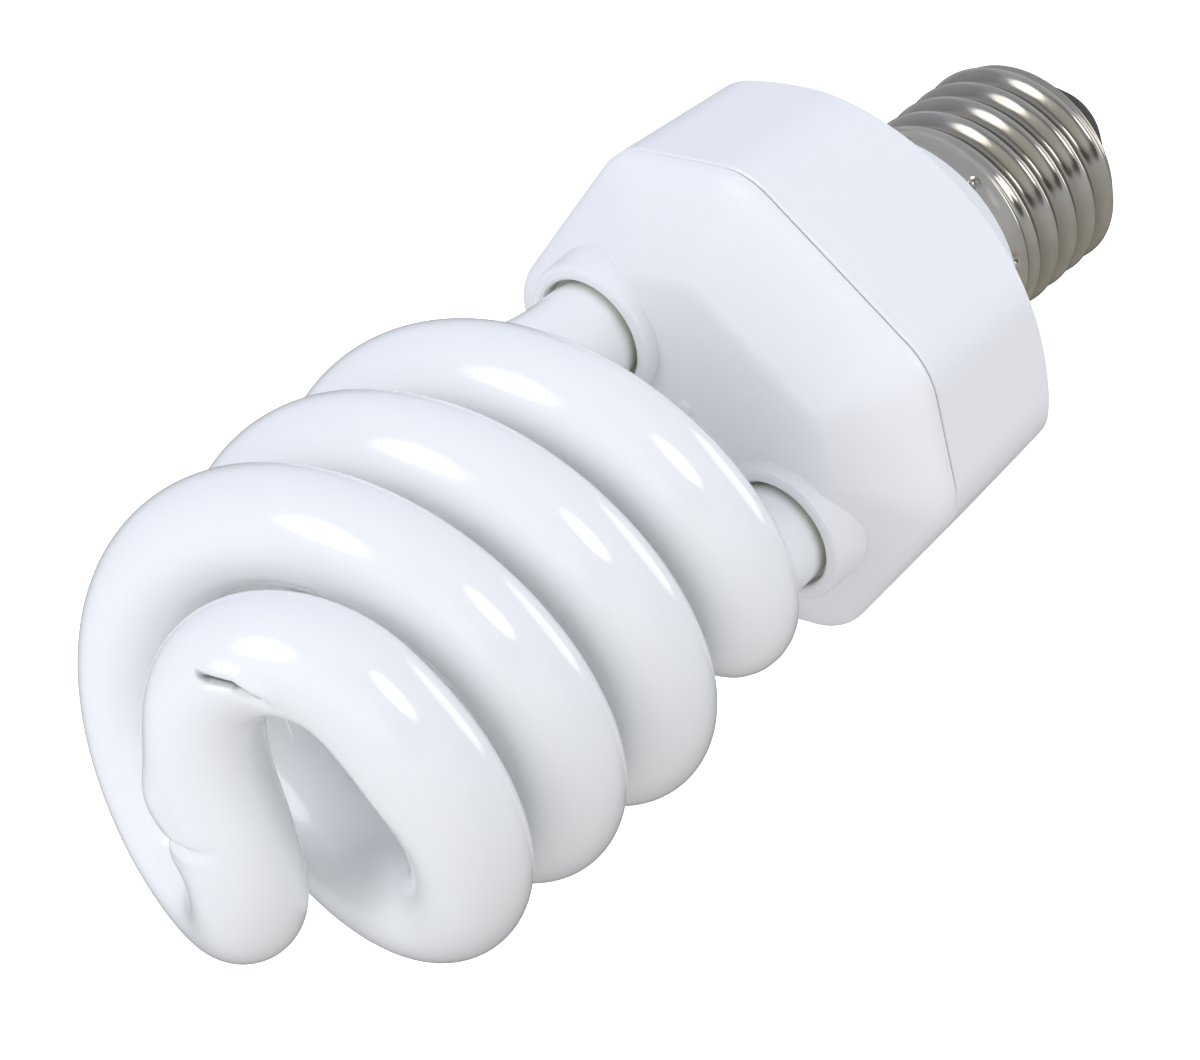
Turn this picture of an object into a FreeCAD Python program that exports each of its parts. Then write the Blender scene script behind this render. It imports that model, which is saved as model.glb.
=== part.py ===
import FreeCAD, Part
import math
import os

V = FreeCAD.Vector

# ---------------------------------------------------------------------------
# Screw-in spiral fluorescent lamp, millimetres.
# Frame: +Z runs along the lamp from the centre contact (z = 0) to the glass
# tip, +X passes through the axes of the two tube ends.
# Heights below are measured from the seam between the two housing shells and
# are shifted by SEAM_Z at the end.
# ---------------------------------------------------------------------------
SEAM_Z = 64.2            # seam above the contact face

# glass tube
TUBE_R = 6.16            # outer radius of the glass tube
COIL_R = 22.58           # radius of the tube's centre line in the spiral
COIL_PITCH = 29.374      # rise of one tube per turn (two tubes interleave)
COIL_Z0 = 25.165         # centre-line height at angle 0
LEG_X = 15.05            # distance of each tube end from the lamp axis
LEG_BOTTOM = 1.2         # cut end of the tube inside the holder
LEG_TOP = 12.9           # where the straight leg starts to bend
ELBOW_UP = 14.4          # bend handles
ELBOW_ALONG = 13.0
COIL_START = 45.06       # degrees
COIL_END = (622.9, 623.4)   # first and second tube
TIP_Z = 83.02            # centre line at the middle of the bridge
TIP_OUT = (6.95, 8.4)    # bridge handles, first and second tube
TIP_IN = (21.0, 21.5)
TIP_DIR = 139.4          # heading of the bridge at its middle, degrees

# housing
FLAT_H = 27.0            # half width across the flats at the seam
CHAM_K = 29.3            # distance of the corner flats from the axis
CORNER_R = 8.5           # radius of the eight upright edges
WALL = 1.8
SEAM_GAP = 0.16          # visible gap between the shells
SEAM_EDGE = 0.25         # bevel of both edges at the seam
REAR_DRAFT = 1.5         # wall runs in by this much over REAR_LEN
REAR_LEN = 26.0
NECK_R = 15.14
NECK_END = -32.4
SPIGOT_R = 12.5
SPIGOT_END = -36.2
BORE_R = 10.9
COLLAR_TOP = 9.8
COLLAR_R = 8.35
SOCKET_R = 6.62
# front face, inset from the seam outline against height: rounded edge,
# eight sloping facets, level middle
FRONT_EDGE = [(0.0, 0.33), (0.14, 0.95), (0.45, 1.5), (0.95, 2.0), (1.6, 2.45), (2.3, 2.86)]
FRONT_SLOPE = [(2.3, 2.86), (10.5, 7.6)]
FRONT_TOP = [(10.5, 7.6), (10.9, 7.74), (11.6, 7.85), (12.6, 7.88)]

# screw cap
CREST_R = 13.22
ROOT_R = 12.10
THREAD_PITCH = 3.629
SHELL_T = 0.30
SKIRT_R = 12.95
SHELL_TOP = -32.45
LIP_START = -53.6        # where the end of the shell starts to curl in
LIP_DROP = 2.1
LIP_R = 9.75
FLARE_AT = (-34.2, -36.3)   # the skirt widens slightly above the first turn
FLARE = 0.25
THREAD_ON = (-36.4, -38.2)
THREAD_OFF = (-53.6, -54.9)
THREAD_PHASE = -42.61    # height of a crest at 0 degrees
CONTACT_R = 3.5

# circuit board
PCB_TOP = -5.0
PCB_T = 1.3
PCB_BOT = PCB_TOP - PCB_T
PCB_H = 23.4
PCB_K = 26.7

os.makedirs("parts", exist_ok=True)
nodes = {}
board_holes = []


# ------------------------------------------------------------- small helpers
def box(x0, x1, y0, y1, z0, z1):
    return Part.makeBox(x1 - x0, y1 - y0, z1 - z0, V(x0, y0, z0))


def cyl(r, x, y, z0, z1):
    return Part.makeCylinder(r, z1 - z0, V(x, y, z0))


def revolve(profile, x=0.0, y=0.0):
    # closed (radius, height) polygon turned about an upright axis
    pts = [V(r, 0, z) for r, z in profile]
    w = Part.makePolygon(pts + [pts[0]])
    s = Part.Face(w).revolve(V(0, 0, 0), V(0, 0, 1), 360)
    s.translate(V(x, y, 0))
    return s


def unit(v):
    return v * (1.0 / v.Length)


def one_solid(s):
    if len(s.Solids) != 1:
        raise RuntimeError("expected one solid, got %d" % len(s.Solids))
    return s.Solids[0]


# -------------------------------------------------- round tube on smooth arcs
def biarc(p0, t0, p1, t1):
    v = p1 - p0
    vt = v.dot(t0 + t1)
    tt = 2.0 * (1.0 - t0.dot(t1))
    vv = v.dot(v)
    d = vv / (2.0 * vt) if tt < 1e-7 else (-vt + math.sqrt(vt * vt + tt * vv)) / tt
    q0 = p0 + t0 * d
    q1 = p1 - t1 * d
    return (q0 + q1) * 0.5, unit(q1 - q0)


def sweep(points, tangents, radius):
    # a chain of straight pieces and circular arcs, each tangent to the next
    segs = []
    for i in range(len(points) - 1):
        p0, p1, t0, t1 = points[i], points[i + 1], tangents[i], tangents[i + 1]
        v = p1 - p0
        if v.cross(t0).Length < 1e-6 * v.Length and v.cross(t1).Length < 1e-6 * v.Length:
            segs.append((p0, t0, p1))
        else:
            pm, tm = biarc(p0, t0, p1, t1)
            segs.append((p0, t0, pm))
            segs.append((pm, tm, p1))
    t = segs[0][1]
    u = t.cross(V(0.3, 0.9, 0.1))
    u = unit(u)
    faces = []
    length = 0.0
    tight = 1e9

    def ring(p, t, u):
        w = t.cross(u)
        e = Part.Circle(V(0, 0, 0), V(0, 0, 1), radius).toShape()
        e.Placement = FreeCAD.Placement(p, FreeCAD.Rotation(u, w, t, "ZXY"))
        return e

    first = ring(segs[0][0], t, u)
    faces.append(Part.Face(Part.Wire([first])))
    for a, t, b in segs:
        e = ring(a, t, u)
        c = b - a
        m = c - t * c.dot(t)
        if m.Length < 1e-7:
            faces.append(e.extrude(c))
            length += c.Length
            end_t = t
        else:
            m = unit(m)
            r = c.dot(c) / (2.0 * c.dot(m))
            axis = t.cross(m)
            ang = 2.0 * math.atan2(c.dot(m), c.dot(t))
            faces.append(e.revolve(a + m * r, axis, math.degrees(ang)))
            rot = FreeCAD.Rotation(axis, math.degrees(ang))
            u = rot.multVec(u)
            end_t = rot.multVec(t)
            length += r * ang
            tight = min(tight, r)
    faces.append(Part.Face(Part.Wire([ring(segs[-1][2], end_t, u)])))
    shell = Part.Compound(faces)
    shell.sewShape()
    shell = shell.Shells[0] if shell.Shells else Part.makeShell(shell.Faces)
    s = Part.Solid(shell)
    if s.Volume < 0:
        s.reverse()
    print("tube r %.2f length %.1f tightest bend %.2f volume %.1f expected %.1f valid %s"
          % (radius, length, tight, s.Volume, math.pi * radius ** 2 * length, s.isValid()))
    return s


def bezier(p0, p1, p2, p3, n):
    pts, tan = [], []
    for i in range(n + 1):
        t = i / float(n)
        s = 1.0 - t
        pts.append(p0 * s ** 3 + p1 * (3 * s * s * t) + p2 * (3 * s * t * t) + p3 * t ** 3)
        tan.append(unit((p1 - p0) * (s * s) + (p2 - p1) * (2 * s * t) + (p3 - p2) * (t * t)))
    return pts, tan


# ------------------------------------------------------- eight-sided outlines
def oct_wire(h, k, r, z):
    c = k * math.sqrt(2.0) - h
    p = [V(h, c, z), V(c, h, z), V(-c, h, z), V(-h, c, z),
         V(-h, -c, z), V(-c, -h, z), V(c, -h, z), V(h, -c, z)]
    cut = r * math.tan(math.radians(22.5))
    edges = []
    for i in range(8):
        a, b, d = p[i - 1], p[i], p[(i + 1) % 8]
        before = b - unit(b - a) * cut
        after = b + unit(d - b) * cut
        mid = b + unit((before + after) * 0.5 - b) * (r / math.cos(math.radians(22.5)) - r)
        start = a + unit(b - a) * cut
        edges.append(Part.LineSegment(start, before).toShape())
        edges.append(Part.Arc(before, mid, after).toShape())
    return Part.Wire(edges)


def oct_prism(inset0, z0, inset1, z1, r=CORNER_R):
    return Part.makeLoft([oct_wire(FLAT_H - inset0, CHAM_K - inset0, r, z0),
                          oct_wire(FLAT_H - inset1, CHAM_K - inset1, r, z1)], True, True)


# ================================================================ glass tube
def helix(deg):
    a = math.radians(deg)
    p = V(COIL_R * math.cos(a), COIL_R * math.sin(a), COIL_Z0 + COIL_PITCH * deg / 360.0)
    t = V(-COIL_R * math.sin(a), COIL_R * math.cos(a), COIL_PITCH / (2 * math.pi))
    return p, unit(t)


foot = V(LEG_X, 0, LEG_BOTTOM)
knee = V(LEG_X, 0, LEG_TOP)
up = V(0, 0, 1)
hs, ts = helix(COIL_START)
tip = V(0, 0, TIP_Z)
tdir = V(math.cos(math.radians(TIP_DIR)), math.sin(math.radians(TIP_DIR)), 0)


def half_tube(end, out, into):
    # centre line of one tube from its cut end to the middle of the bridge
    pts, tan = [foot], [up]
    bp, bt = bezier(knee, knee + up * ELBOW_UP, hs - ts * ELBOW_ALONG, hs, 4)
    pts += bp
    tan += bt
    spans = 13
    for i in range(1, spans + 1):
        p, t = helix(COIL_START + (end - COIL_START) * i / spans)
        pts.append(p)
        tan.append(t)
    he, te = helix(end)
    bp, bt = bezier(he, he + te * out, tip - tdir * into, tip, 6)
    return pts + bp[1:], tan + bt[1:]


half_p, half_t = half_tube(COIL_END[0], TIP_OUT[0], TIP_IN[0])
other_p, other_t = half_tube(COIL_END[1], TIP_OUT[1], TIP_IN[1])
turn = FreeCAD.Rotation(V(0, 0, 1), 180)
back_p = [turn.multVec(p) for p in reversed(other_p[:-1])]
back_t = [turn.multVec(t) * -1.0 for t in reversed(other_t[:-1])]
nodes["glass_spiral_tube"] = sweep(half_p + back_p, half_t + back_t, TUBE_R)

# ==================================================== front shell: tube holder
g = SEAM_GAP / 2.0


def front_body(inset, drop, r0, r1):
    def outline(d, z):
        return oct_wire(FLAT_H - inset - d, CHAM_K - inset - d, max(r1, r0 - d), z - drop)
    body = Part.makeLoft([outline(d, z) for d, z in FRONT_EDGE], True, False)
    for rows in (FRONT_SLOPE, FRONT_TOP):
        body = body.fuse(Part.makeLoft([outline(d, z) for d, z in rows], True, True))
    if drop:
        d, z = FRONT_EDGE[0]
        body = body.fuse(Part.Face(outline(d, z)).extrude(V(0, 0, -1.0)))
    return body.removeSplitter()


front_out = front_body(0.0, 0.0, CORNER_R, 1.6)
front_out = front_out.fuse(oct_prism(SEAM_EDGE, g, 0.0, FRONT_EDGE[0][1]))
front_in = front_body(WALL, WALL, CORNER_R - 1.0, 1.4)
holder = front_out.cut(front_in)

# locating lip that enters the rear shell, with four hold-down posts
lip = oct_prism(1.1, 0.35, 2.9, 2.0).fuse(oct_prism(WALL + 0.40, -3.0, WALL + 0.15, 0.4, 3.0))
lip = lip.cut(oct_prism(3.1, -4.0, 3.1, 4.0, 2.5))
for a in (45, 135, 225, 315):
    post = box(26.15, 26.95, -1.6, 1.6, PCB_TOP, -2.6)
    post.rotate(V(0, 0, 0), V(0, 0, 1), a)
    lip = lip.fuse(post)
# snap hooks on the four flats
hooks = []
for a in (0, 90, 180, 270):
    hook = box(FLAT_H - WALL - 0.4, FLAT_H - WALL + 0.55, -3.0, 3.0, -2.8, -1.7)
    hook.rotate(V(0, 0, 0), V(0, 0, 1), a)
    lip = lip.fuse(hook)
holder = holder.fuse(lip)

for sx in (1, -1):
    collar = revolve([(SOCKET_R, 2.2), (8.0, 2.2), (8.0, 3.4), (COLLAR_R + 0.25, 5.0), (COLLAR_R, COLLAR_TOP - 0.6),
                      (COLLAR_R - 0.16, COLLAR_TOP - 0.2), (COLLAR_R - 0.5, COLLAR_TOP),
                      (SOCKET_R + 0.55, COLLAR_TOP), (SOCKET_R + 0.2, COLLAR_TOP - 0.15),
                      (SOCKET_R, COLLAR_TOP - 0.5)], sx * LEG_X, 0)
    holder = holder.cut(cyl(SOCKET_R + 0.3, sx * LEG_X, 0, -1, 12)).fuse(collar)
# small moulding pip near the middle of the front face
holder = holder.fuse(Part.makeCone(1.1, 0.8, 0.9, V(-1.8, 1.4, 7.5)))
nodes["tube_holder"] = one_solid(holder.removeSplitter())

# ========================================================= rear housing shell
slope = REAR_DRAFT / REAR_LEN
outer = oct_prism(SEAM_EDGE, -g, 0.0, -0.33).fuse(oct_prism(0.0, -0.33, slope * 40.0, -40.0))
dome_arc = Part.Arc(V(31.9, 0, -14.6), V(26.9, 0, -20.4), V(16.5, 0, -26.2))


def dome_face(arc, neck_r, fillet, neck_z):
    # half section of the round rear end: dome, fillet and neck
    end = arc.EndPoint
    elbow = Part.Arc(end, V(neck_r + fillet * 0.34, 0, end.z - fillet * 0.45), V(neck_r, 0, end.z - fillet * 1.35))
    pts = [V(0, 0, 1), V(40, 0, 1), V(40, 0, arc.StartPoint.z), arc.StartPoint]
    edges = [Part.LineSegment(pts[i], pts[i + 1]).toShape() for i in range(3)]
    edges.append(arc.toShape())
    edges.append(elbow.toShape())
    tail = [elbow.EndPoint, V(neck_r, 0, neck_z + 0.4), V(neck_r - 0.4, 0, neck_z), V(0, 0, neck_z), V(0, 0, 1)]
    edges += [Part.LineSegment(tail[i], tail[i + 1]).toShape() for i in range(4)]
    return Part.Face(Part.Wire(edges)).revolve(V(0, 0, 0), V(0, 0, 1), 360)


outer = outer.common(dome_face(dome_arc, NECK_R, 1.36, NECK_END))
outer = outer.removeSplitter()
rim = []
for e in outer.Edges:
    zc = e.BoundBox.ZMin
    rr = max(math.hypot(v.X, v.Y) for v in e.Vertexes)
    if -23.5 < zc < -14.0 and rr > 25.0 and e.BoundBox.ZLength < 4.5:
        rim.append(e)
try:
    rounded = outer.makeFillet(0.7, rim)
    if rounded.isValid() and abs(rounded.Volume / outer.Volume - 1) < 0.03:
        outer = rounded
        print("rear rim rounded,", len(rim), "edges")
except Exception as err:
    print("rear rim left sharp:", err)

inner = oct_prism(WALL, 1.0, WALL + REAR_DRAFT, -REAR_LEN, 3.0)
in_arc = Part.Arc(V(30.2, 0, -13.6), V(25.6, 0, -18.9), V(14.0, 0, -24.9))
e_in = [Part.LineSegment(V(0, 0, 2), V(40, 0, 2)).toShape(), Part.LineSegment(V(40, 0, 2), V(40, 0, -13.6)).toShape(),
        Part.LineSegment(V(40, 0, -13.6), V(30.2, 0, -13.6)).toShape(), in_arc.toShape(),
        Part.LineSegment(V(14.0, 0, -24.9), V(BORE_R, 0, -26.4)).toShape(),
        Part.LineSegment(V(BORE_R, 0, -26.4), V(0, 0, -26.4)).toShape(), Part.LineSegment(V(0, 0, -26.4), V(0, 0, 2)).toShape()]
inner = inner.common(Part.Face(Part.Wire(e_in)).revolve(V(0, 0, 0), V(0, 0, 1), 360))
spigot = revolve([(0, NECK_END + 0.5), (SPIGOT_R, NECK_END + 0.5), (SPIGOT_R, -34.9), (11.6, SPIGOT_END), (0, SPIGOT_END)])
rear = outer.fuse(spigot).removeSplitter()
rear = rear.cut(inner).cut(cyl(BORE_R, 0, 0, SPIGOT_END - 1, -26.0))
for a in (0, 90, 180, 270):
    rib = box(22.2, FLAT_H - WALL + 0.2, -1.2, 1.2, -14.0, PCB_BOT)
    rib.rotate(V(0, 0, 0), V(0, 0, 1), a)
    rear = rear.fuse(rib)
    pocket = box(FLAT_H - WALL - 0.6, FLAT_H - WALL + 0.75, -3.3, 3.3, -3.0, -1.5)
    pocket.rotate(V(0, 0, 0), V(0, 0, 1), a)
    rear = rear.cut(pocket)
# slot and groove for the neutral wire, through and outside the spigot
NEUTRAL_AZ = 110.0
for r0, top in ((SPIGOT_R - 0.8, NECK_END), (BORE_R - 0.5, -33.5)):
    groove = box(r0, SPIGOT_R + 1, -0.5, 0.5, SPIGOT_END - 1, top)
    groove.rotate(V(0, 0, 0), V(0, 0, 1), NEUTRAL_AZ)
    rear = rear.cut(groove)
nodes["rear_housing"] = one_solid(rear.removeSplitter())


# ================================================================== screw cap
def smooth(a, b, x):
    t = min(1.0, max(0.0, (x - a) / (b - a)))
    return t * t * (3 - 2 * t)


def mean_r(z):
    mid = 0.5 * (CREST_R + ROOT_R)
    skirt = SKIRT_R + FLARE * smooth(FLARE_AT[0], FLARE_AT[1], z)
    return skirt + (mid - skirt) * smooth(THREAD_ON[0], THREAD_ON[1], z)


def thread(z, deg):
    amp = 0.5 * (CREST_R - ROOT_R)
    amp *= smooth(THREAD_ON[0], THREAD_ON[1], z) * (1 - smooth(THREAD_OFF[0], THREAD_OFF[1], z))
    return amp * math.cos(2 * math.pi * ((z - THREAD_PHASE) / THREAD_PITCH - deg / 360.0))


def section(t):
    # height and mean radius down the shell, t inside the outer skin
    rows = []
    for j in range(48):
        z = SHELL_TOP + (LIP_START - SHELL_TOP) * j / 48.0
        rows.append((z, mean_r(z) - t))
    for j in range(11):
        a = math.radians(90.0 * j / 10)
        rows.append((LIP_START - (LIP_DROP - t) * math.sin(a), LIP_R + (mean_r(LIP_START) - t - LIP_R) * math.cos(a)))
    return rows


def thread_face(t, steps=48):
    # rolled sheet surface, closed on itself round the axis
    grid = []
    for i in range(steps + 1):
        deg = 360.0 * (i % steps) / steps
        c, n = math.cos(math.radians(deg)), math.sin(math.radians(deg))
        line = []
        for z, r in section(t):
            r += thread(z, deg)
            line.append(V(r * c, r * n, z))
        grid.append(line)
    surf = Part.BSplineSurface()
    surf.interpolate(grid)
    return surf.toShape()


def end_edge(face, low):
    flat = [e for e in face.Edges if e.BoundBox.ZLength < 1e-4]
    return sorted(flat, key=lambda e: e.BoundBox.ZMin)[0 if low else -1]


skin = thread_face(0.0)
lining = thread_face(SHELL_T)
ends = [Part.makeFace([Part.Wire([end_edge(skin, False)]), Part.Wire([end_edge(lining, False)])], "Part::FaceMakerBullseye"),
        Part.makeRuledSurface(end_edge(skin, True), end_edge(lining, True))]
sheet = Part.Compound([skin, lining] + ends)
sheet.sewShape(1e-5)
shell = Part.Solid(sheet.Shells[0])
if shell.Volume < 0:
    shell.reverse()
nodes["screw_shell"] = one_solid(shell)

nodes["cap_insulator"] = revolve([(1.05, -54.4), (9.2, -54.4), (9.6, -54.8), (9.6, -56.2), (8.2, -58.6), (6.6, -60.8),
                                  (5.3, -62.3), (4.4, -63.1), (4.0, -63.3), (1.05, -63.3)])
nodes["centre_contact"] = revolve([(0, -53.6), (0.7, -53.6), (1.0, -53.9), (1.0, -63.3), (CONTACT_R, -63.3),
                                   (CONTACT_R, -63.6), (CONTACT_R - 0.2, -63.95), (CONTACT_R - 0.6, -64.2), (0, -64.2)])

# ============================================================ tube end cement
for name, sx in (("tube_cement_right", 1), ("tube_cement_left", -1)):
    nodes[name] = revolve([(TUBE_R + 0.01, 1.7), (SOCKET_R - 0.01, 1.7), (SOCKET_R - 0.01, 8.2), (TUBE_R + 0.01, 8.6)],
                          sx * LEG_X, 0)


# ============================================================== circuit board
def leads(points, z_in, r=0.32):
    # round legs from a part's underside, through the board and 1 mm beyond
    out = None
    for x, y in points:
        board_holes.append((x, y, r + 0.12))
        c = cyl(r, x, y, z_in, PCB_TOP + 1.0)
        out = c if out is None else out.fuse(c)
    return out


def with_leads(body, points, z_in, r=0.32):
    s = body
    for x, y in points:
        board_holes.append((x, y, r + 0.12))
        s = s.fuse(cyl(r, x, y, z_in, PCB_TOP + 1.0))
    return one_solid(s.removeSplitter())


def axial(cx, cy, along, radius, length, span, z=-8.0, lead_r=0.3):
    # axial part lying under the board with its two legs bent up through it
    d = V(1, 0, 0) if along == "x" else V(0, 1, 0)
    c = V(cx, cy, z)
    body = Part.makeCylinder(radius, length, c - d * (length / 2.0), d)
    body = body.makeFillet(radius * 0.35, [e for e in body.Edges if len(e.Vertexes) == 1])
    s = body
    for k in (1, -1):
        foot_p = c + d * (k * span / 2.0)
        s = s.fuse(Part.makeCylinder(lead_r, span / 2.0, c, d * k))
        s = s.fuse(Part.makeSphere(lead_r, foot_p))
        s = s.fuse(cyl(lead_r, foot_p.x, foot_p.y, z, PCB_TOP + 1.0))
        board_holes.append((foot_p.x, foot_p.y, lead_r + 0.12))
    return one_solid(s)


def block(x0, x1, y0, y1, z0, z1, r):
    b = box(x0, x1, y0, y1, z0, z1)
    return b.makeFillet(r, b.Edges)


# smoothing capacitor: rolled can with a bead near its rubber end
can = revolve([(0, -6.9), (4.5, -6.9), (4.9, -7.2), (5.0, -7.6), (5.0, -8.6), (4.6, -9.0), (4.6, -9.3), (5.0, -9.7),
               (5.0, -26.6), (4.7, -27.0), (0, -27.0)], 0.0, -3.0)
nodes["electrolytic_capacitor"] = with_leads(can, [(-2.5, -3.0), (2.5, -3.0)], -7.5)

# ballast choke: two E halves, bobbin and winding
cx, cy = -14.0, 9.0
core = box(cx - 7, cx + 7, cy - 2.5, cy + 2.5, -17.2, -7.4)
for k in (1, -1):
    x0, x1 = sorted((cx + k * 2.0, cx + k * 5.2))
    core = core.cut(box(x0, x1, cy - 3, cy + 3, -15.2, -9.4))
nodes["choke_core"] = one_solid(core)
bob = box(cx - 2.7, cx + 2.7, cy - 3.2, cy + 3.2, -15.1, -9.5)
bob = bob.fuse(box(cx - 5.0, cx + 5.0, cy - 6.0, cy + 6.0, -10.1, -9.5)).fuse(box(cx - 5.0, cx + 5.0, cy - 6.0, cy + 6.0, -15.1, -14.5))
for k in (1, -1):
    y0, y1 = sorted((cy + k * 3.0, cy + k * 6.0))
    bob = bob.fuse(box(cx - 5.0, cx + 5.0, y0, y1, -9.9, PCB_BOT - 0.1))
bob = bob.cut(box(cx - 2.1, cx + 2.1, cy - 2.6, cy + 2.6, -17, -7)).cut(box(cx - 7.2, cx + 7.2, cy - 2.6, cy + 2.6, -9.5, -6))
nodes["choke_bobbin"] = with_leads(bob, [(cx - 4, cy - 4.8), (cx + 4, cy - 4.8), (cx - 4, cy + 4.8), (cx + 4, cy + 4.8)], -8.5)
wind = box(cx - 4.8, cx + 4.8, cy - 5.7, cy + 5.7, -14.45, -10.15)
wind = wind.makeFillet(1.6, [e for e in wind.Edges if abs(e.Vertexes[0].Z - e.Vertexes[1].Z) > 1])
nodes["choke_winding"] = one_solid(wind.cut(box(cx - 2.75, cx + 2.75, cy - 3.25, cy + 3.25, -16, -9)))

# feedback transformer: small ring lying under the board, three windings
tx, ty, tz0, tz1 = 11.0, -15.0, -11.4, -7.6
ring_core = cyl(4.5, tx, ty, tz0, tz1).cut(cyl(2.4, tx, ty, tz0 - 1, tz1 + 1))
nodes["toroid_core"] = one_solid(ring_core.makeFillet(0.4, ring_core.Edges[:0] or [e for e in ring_core.Edges if e.Closed and e.Length > 10]))
turns = []
for base in (20, 140, 260):
    for k in range(3):
        a = base + k * 22
        loop = box(1.95, 4.95, -0.3, 0.3, tz0 - 0.45, tz1 + 0.45).cut(box(2.3, 4.6, -1, 1, tz0 - 0.1, tz1 + 0.1))
        loop.rotate(V(0, 0, 0), V(0, 0, 1), a)
        loop.translate(V(tx, ty, 0))
        turns.append(loop)
nodes["toroid_windings"] = Part.Compound(turns)

# switching transistors: flat moulded bodies on three legs
for name, yc in (("transistor_upper", -4.0), ("transistor_lower", -10.0)):
    b = block(-19.0, -11.0, yc - 1.6, yc + 1.6, -20.0, -9.0, 0.35)
    b = b.cut(Part.makeCylinder(1.6, 4, V(-15.0, yc - 2, -16.2), V(0, 1, 0)))
    nodes[name] = with_leads(b, [(-17.3, yc), (-15.0, yc), (-12.7, yc)], -9.6)

# film capacitors
nodes["resonant_capacitor"] = with_leads(block(2.5, 13.5, 13.5, 18.5, -16.0, -6.9, 1.5), [(4.5, 16), (11.5, 16)], -9.0)
nodes["coupling_capacitor"] = with_leads(block(12.0, 21.0, 7.3, 11.7, -15.0, -6.9, 1.4), [(13.8, 9.5), (19.2, 9.5)], -9.0)
nodes["snubber_capacitor"] = with_leads(block(13.2, 20.2, 1.4, 4.4, -13.0, -6.9, 1.0), [(14.4, 2.9), (19.0, 2.9)], -8.5)

# rectifier: four axial diodes
diodes = [axial(x, y, "x", 1.3, 4.6, 7.4) for x in (-13.0, -4.0) for y in (-14.6, -18.0)]
nodes["rectifier_diodes"] = Part.Compound(diodes)
nodes["trigger_diac"] = axial(3.2, -15.0, "y", 0.9, 3.6, 6.4)
nodes["base_resistors"] = Part.Compound([axial(18.2, -12.4, "y", 1.0, 4.6, 7.2), axial(20.9, -11.6, "y", 1.0, 4.6, 7.2)])
nodes["start_resistor"] = axial(5.6, 10.6, "x", 1.0, 4.6, 7.2)

# noise-filter coil on a small drum core
drum = revolve([(0, -6.9), (3.6, -6.9), (3.6, -8.1), (1.7, -8.1), (1.7, -13.3), (3.6, -13.3), (3.6, -14.5), (0, -14.5)], 15.4, -5.2)
nodes["input_choke_core"] = with_leads(drum, [(13.2, -5.2), (17.6, -5.2)], -7.5)
nodes["input_choke_winding"] = one_solid(cyl(3.2, 15.4, -5.2, -13.25, -8.15).cut(cyl(1.72, 15.4, -5.2, -14, -8)))

# pins for the filament wires: stand up from the board towards the tube
PIN_X, PIN_Y, PIN_TOP = 22.0, 4.5, -0.6
pins = []
for sx in (1, -1):
    for sy in (1, -1):
        board_holes.append((sx * PIN_X, sy * PIN_Y, 0.5))
        pins.append(cyl(0.4, sx * PIN_X, sy * PIN_Y, PCB_BOT - 1.0, PIN_TOP))
nodes["wire_wrap_pins"] = Part.Compound(pins)

# filament wires: out of the tube end, across, and wrapped round the pins
WIRE_R = 0.2
for name, sx in (("filament_leads_right", 1), ("filament_leads_left", -1)):
    pair = []
    for sy in (1, -1):
        zt = -2.2
        a = V(sx * (LEG_X + 1.5), sy * 2.0, LEG_BOTTOM)
        b = V(a.x, a.y, -0.6)
        pin = V(sx * PIN_X, sy * PIN_Y, zt)
        d = unit(V(pin.x - a.x, pin.y - a.y, 0))
        side = V(-d.y, d.x, 0) * 0.62
        e1 = V(a.x, a.y, zt) + d * 1.6
        e2 = V(pin.x, pin.y, zt) + side
        d2 = unit(e2 - e1)
        run = sweep([a, b, e1, e2], [V(0, 0, -1), V(0, 0, -1), d2, d2], WIRE_R)
        s = run
        for k in range(3):
            s = s.fuse(Part.makeTorus(0.62, WIRE_R, V(pin.x, pin.y, zt + 0.34 * k)))
        pair.append(one_solid(s))
    nodes[name] = Part.Compound(pair)

# fusible resistor standing in the neck, and the live wire to the contact
fx, fy = 7.4, 3.4
fus = cyl(1.35, fx, fy, -27.5, -20.5)
fus = fus.makeFillet(0.5, [e for e in fus.Edges if len(e.Vertexes) == 1])
fus = fus.fuse(cyl(0.32, fx, fy, -29.0, PCB_TOP + 1.0))
board_holes.append((fx, fy, 0.44))
nodes["fusible_resistor"] = one_solid(fus)
down = V(0, 0, -1)
nodes["live_lead"] = sweep([V(fx, fy, -29.0), V(fx, fy, -36.0), V(0, 0, -49.5), V(0, 0, -53.6)], [down] * 4, 0.7)

# neutral wire: down the bore, out through the spigot's slot and up under the shell
na = math.radians(NEUTRAL_AZ)
rad = V(math.cos(na), math.sin(na), 0)
zu = -34.0
board_holes.append((rad.x * 10.2, rad.y * 10.2, 0.5))
nodes["neutral_lead"] = sweep([rad * 10.2 + V(0, 0, PCB_TOP + 0.8), rad * 10.2 + V(0, 0, zu), rad * 11.2 + V(0, 0, zu - 1.0),
                               rad * 12.2 + V(0, 0, zu), rad * 12.2 + V(0, 0, -32.75)],
                              [down, down, rad, V(0, 0, 1), V(0, 0, 1)], 0.35)

board = Part.Face(oct_wire(PCB_H, PCB_K, 2.0, PCB_BOT)).extrude(V(0, 0, PCB_T))
cutter = [cyl(r, x, y, PCB_BOT - 1, PCB_TOP + 1) for x, y, r in board_holes]
board = board.cut(Part.Compound(cutter))
nodes["circuit_board"] = one_solid(board)

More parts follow.
